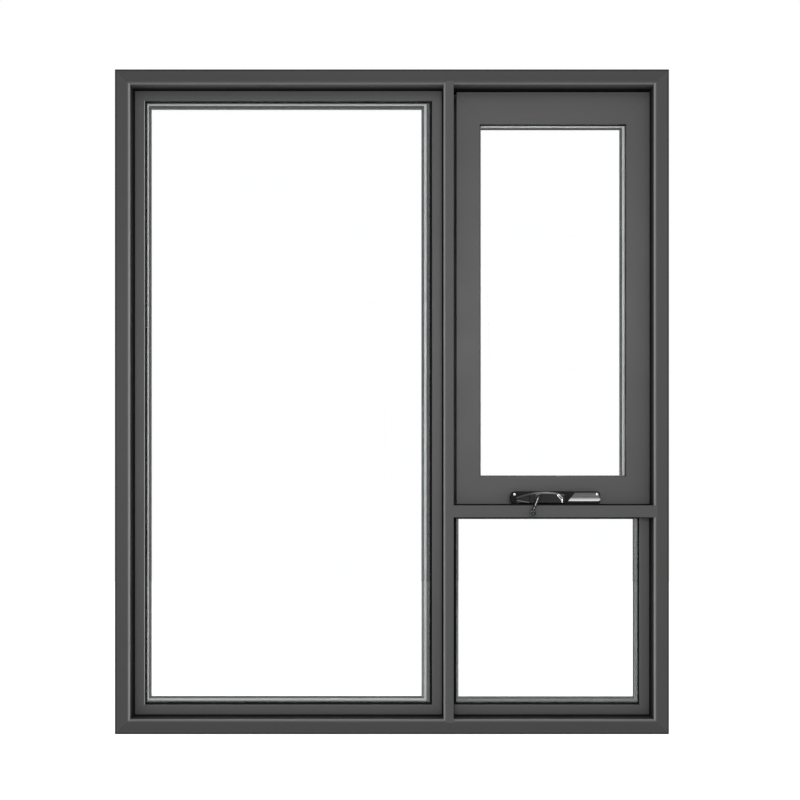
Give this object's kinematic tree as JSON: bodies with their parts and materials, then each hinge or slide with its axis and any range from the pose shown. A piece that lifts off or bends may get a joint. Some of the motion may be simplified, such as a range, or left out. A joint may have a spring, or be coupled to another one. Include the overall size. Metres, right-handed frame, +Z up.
{
  "type": "awning window with crank winder",
  "caption": "Three-light aluminium window: a tall fixed light, a fixed lower light and a top-hung sash opened by a crank-driven chain winder.",
  "frame": {"origin": "centre of the sill's underside, half way through the frame's depth", "axes": "+X to the right seen from the room, +Y outwards, +Z up"},
  "size_m": [1.5, 0.129, 1.8],
  "materials": {
    "frame": "satin anthracite powder coat",
    "cleat": "raw cast",
    "gasket": "matt black",
    "seal": "matt black sealant",
    "spacer": "mill finish",
    "glass": "clear float glass",
    "block": "black",
    "hinge": "anodised",
    "winder": "gloss black enamel",
    "steel": "zinc plated",
    "chain": "plain steel"
  },
  "bodies": {
    "frame": {"frame_jamb_left": "frame", "frame_jamb_right": "frame", "frame_head": "frame", "frame_sill": "frame", "mullion": "frame", "transom": "frame", "left_adaptors": "frame", "lower_adaptors": "frame", "left_bead_left": "frame", "left_bead_right": "frame", "left_bead_top": "frame", "left_bead_bottom": "frame", "lower_bead_right": "frame", "lower_bead_bottom": "frame", "frame_cleats": "cleat", "left_gasket_inner": "gasket", "left_gasket_outer": "gasket", "left_edge_seal": "seal", "left_spacer": "spacer", "left_pane_inner": "glass", "left_pane_outer": "glass", "lower_gasket_inner": "gasket", "lower_gasket_outer": "gasket", "lower_edge_seal": "seal", "lower_spacer": "spacer", "lower_pane_inner": "glass", "lower_pane_outer": "glass", "weather_seal": "gasket", "fixed_setting_blocks": "block", "hinge_frame_leaf": "hinge", "winder_housing": "winder", "winder_end_cover": "winder", "winder_bracket": "steel", "winder_screws": "steel", "chain": "chain"},
    "sash": {"sash_stile_left": "frame", "sash_stile_right": "frame", "sash_rail_top": "frame", "sash_rail_bottom": "frame", "sash_outer_beads": "frame", "sash_cleats": "cleat", "sash_gasket_inner": "gasket", "sash_gasket_outer": "gasket", "sash_edge_seal": "seal", "sash_spacer": "spacer", "sash_pane_inner": "glass", "sash_pane_outer": "glass", "sash_setting_blocks": "block", "sash_chain_bracket": "steel", "hinge_sash_leaf": "hinge", "chain_end": "steel"},
    "crown_gear": {"crown_gear": "steel"},
    "crank_hub": {"crank_spindle": "winder"},
    "crank_arm": {"crank_arm": "winder"},
    "crank_knob": {"crank_knob": "winder"},
    "lock_lever": {"lock_lever": "steel"}
  },
  "joints": [
    {"name": "sash_hinge", "type": "hinge", "parent": "frame", "child": "sash", "pos_m": [0.44295, 0.04, 1.7705], "axis": [1, 0, 0], "range_deg": [0, 15], "deforming": ["chain"]},
    {"name": "gear_spin", "type": "hinge", "parent": "frame", "child": "crown_gear", "pos_m": [0.396, -0.0275, 0.6272], "axis": [0, 0, 1], "range_deg": [-1681, 1]},
    {"name": "crank_spin", "type": "hinge", "parent": "frame", "child": "crank_hub", "pos_m": [0.396, -0.0445, 0.642], "axis": [0, 1, 0], "range_deg": [-1, 5041]},
    {"name": "crank_fold", "type": "hinge", "parent": "crank_hub", "child": "crank_arm", "pos_m": [0.396, -0.05385, 0.642], "axis": [-0.93, 0, 0.3677], "range_deg": [0, 60]},
    {"name": "knob_spin", "type": "hinge", "parent": "crank_arm", "child": "crank_knob", "pos_m": [0.379, -0.079, 0.599], "axis": [0, 1, 0], "continuous": true},
    {"name": "lever_turn", "type": "hinge", "parent": "frame", "child": "lock_lever", "pos_m": [0.452, -0.0445, 0.646], "axis": [0, 1, 0], "range_deg": [0, 40]}
  ],
  "couplings": [
    {"joint": "gear_spin", "follows": "sash_hinge", "ratio": -112},
    {"joint": "crank_spin", "follows": "sash_hinge", "ratio": 336}
  ]
}
